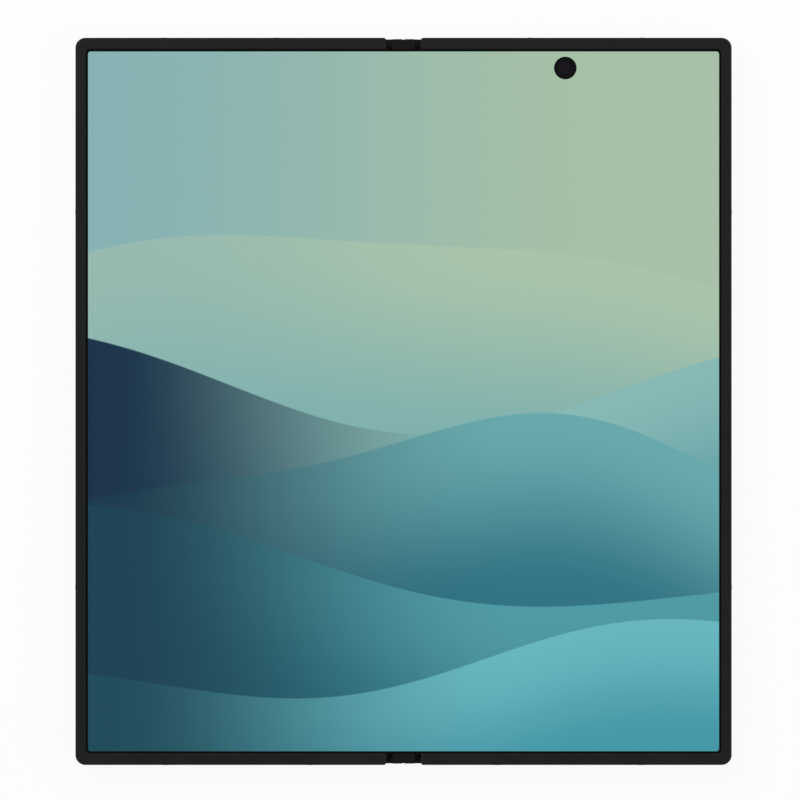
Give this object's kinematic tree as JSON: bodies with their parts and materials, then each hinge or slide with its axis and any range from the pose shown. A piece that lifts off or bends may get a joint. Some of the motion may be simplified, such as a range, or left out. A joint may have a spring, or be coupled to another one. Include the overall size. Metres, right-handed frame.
{
  "type": "foldable smartphone",
  "caption": "Book-style folding phone, open flat: two slim framed halves on a geared spine hinge, flexible inner screen, rear cameras, sprung keys and card tray",
  "frame": {"origin": "middle of the open phone's outline, on the surface that it lies on, which is the plane of the lens rings' rims", "axes": "+X across the fold towards the camera half, +Y to the phone's top, +Z out of the inner screen"},
  "size_m": [0.1432, 0.1588, 0.0066],
  "materials": {
    "frame_metal": "dark anodised aluminium, fine matt",
    "bezel_black": "matt black moulded bezel",
    "inner_panel": "flexible display panel, lit, glossy top film",
    "support_steel": "thin stiffener plate",
    "rear_glass": "dark frosted rear glass",
    "clear_glass": "clear dark cover glass",
    "island_metal": "dark camera plate",
    "ring_metal": "turned dark lens rings",
    "lens_glass": "coated lens glass",
    "camera_black": "black camera housings",
    "flash_lens": "milky yellow flash lens",
    "board_green": "solder-masked circuit board",
    "shield_tin": "tinned shield can",
    "screw_steel": "small steel screws",
    "cell_wrap": "foil-wrapped lithium cell",
    "coil_copper": "enamelled copper coil",
    "port_steel": "stamped steel port shell",
    "inner_black": "black moulded inner parts",
    "gear_brass": "small brass gears",
    "arm_steel": "steel hinge parts",
    "pin_steel": "polished hinge pins",
    "magnet_nickel": "nickel-plated magnets",
    "band_polymer": "antenna band polymer",
    "cable_amber": "amber flat cable",
    "spine_metal": "dark anodised spine",
    "cap_black": "dark hinge end caps"
  },
  "bodies": {
    "right": {"frame_right": "frame_metal", "bezel_right": "bezel_black", "display_right": "inner_panel", "support_plate_right": "support_steel", "back_glass": "rear_glass", "camera_island": "island_metal", "camera_rings": "ring_metal", "camera_lenses": "lens_glass", "camera_modules": "camera_black", "flash_window": "flash_lens", "main_board": "board_green", "board_shield": "shield_tin", "board_screws": "screw_steel", "battery_right": "cell_wrap", "charging_coil": "coil_copper", "charging_board": "board_green", "usb_socket": "port_steel", "bottom_speaker": "inner_black", "vibration_motor": "shield_tin", "microphones": "shield_tin", "key_switches": "inner_black", "inner_camera": "camera_black", "magnets_right": "magnet_nickel", "antenna_bands_right": "band_polymer", "hinge_arms_right": "arm_steel", "hinge_screws_right": "screw_steel", "hinge_cable_right": "cable_amber"},
    "left": {"frame_left": "frame_metal", "bezel_left": "bezel_black", "display_left": "inner_panel", "support_plate_left": "support_steel", "cover_glass": "clear_glass", "cover_display": "inner_black", "cover_camera": "camera_black", "battery_left": "cell_wrap", "sub_board": "board_green", "top_speaker": "inner_black", "card_reader": "shield_tin", "magnets_left": "magnet_nickel", "antenna_bands_left": "band_polymer", "hinge_arms_left": "arm_steel", "hinge_screws_left": "screw_steel", "hinge_cable_left": "cable_amber"},
    "hinge": {"spine_cover": "spine_metal", "end_caps": "cap_black", "hinge_brackets": "arm_steel", "hinge_pins": "pin_steel", "idler_pins": "pin_steel", "friction_washers": "pin_steel", "fold_plate": "support_steel", "display_fold": "inner_panel", "hinge_cable_spine": "cable_amber"},
    "idler_left": {"idler_gear_left": "gear_brass"},
    "idler_right": {"idler_gear_right": "gear_brass"},
    "side_key": {"side_key": "frame_metal"},
    "volume_key": {"volume_key": "frame_metal"},
    "card_tray": {"card_tray": "frame_metal"}
  },
  "joints": [
    {"name": "right_fold", "type": "hinge", "parent": "hinge", "child": "right", "pos_m": [0.00185, 0, 0.005], "axis": [0, -1, 0], "range_deg": [0, 90], "deforming": ["display_fold", "fold_plate"]},
    {"name": "left_fold", "type": "hinge", "parent": "hinge", "child": "left", "pos_m": [-0.00185, 0, 0.005], "axis": [0, 1, 0], "range_deg": [0, 90]},
    {"name": "idler_left_spin", "type": "hinge", "parent": "hinge", "child": "idler_left", "pos_m": [-0.00062, 0, 0.005], "axis": [0, 1, 0], "range_deg": [-90, 0]},
    {"name": "idler_right_spin", "type": "hinge", "parent": "hinge", "child": "idler_right", "pos_m": [0.00062, 0, 0.005], "axis": [0, 1, 0], "range_deg": [0, 90]},
    {"name": "side_key_press", "type": "slide", "parent": "right", "child": "side_key", "axis": [-1, 0, 0], "range_m": [0, 0.00025], "stiffness_N_per_m": 400, "springref_m": -0.0005},
    {"name": "volume_rock", "type": "hinge", "parent": "right", "child": "volume_key", "pos_m": [0.0708, 0.022, 0.0044], "axis": [0, 0, 1], "range_deg": [-1.1, 1.1], "stiffness_Nm_per_rad": 0.05},
    {"name": "card_tray_slide", "type": "slide", "parent": "left", "child": "card_tray", "axis": [-1, 0, 0], "range_m": [0, 0.021]}
  ],
  "couplings": [
    {"joint": "left_fold", "follows": "right_fold", "ratio": 1},
    {"joint": "idler_left_spin", "follows": "right_fold", "ratio": -1},
    {"joint": "idler_right_spin", "follows": "right_fold", "ratio": 1}
  ]
}
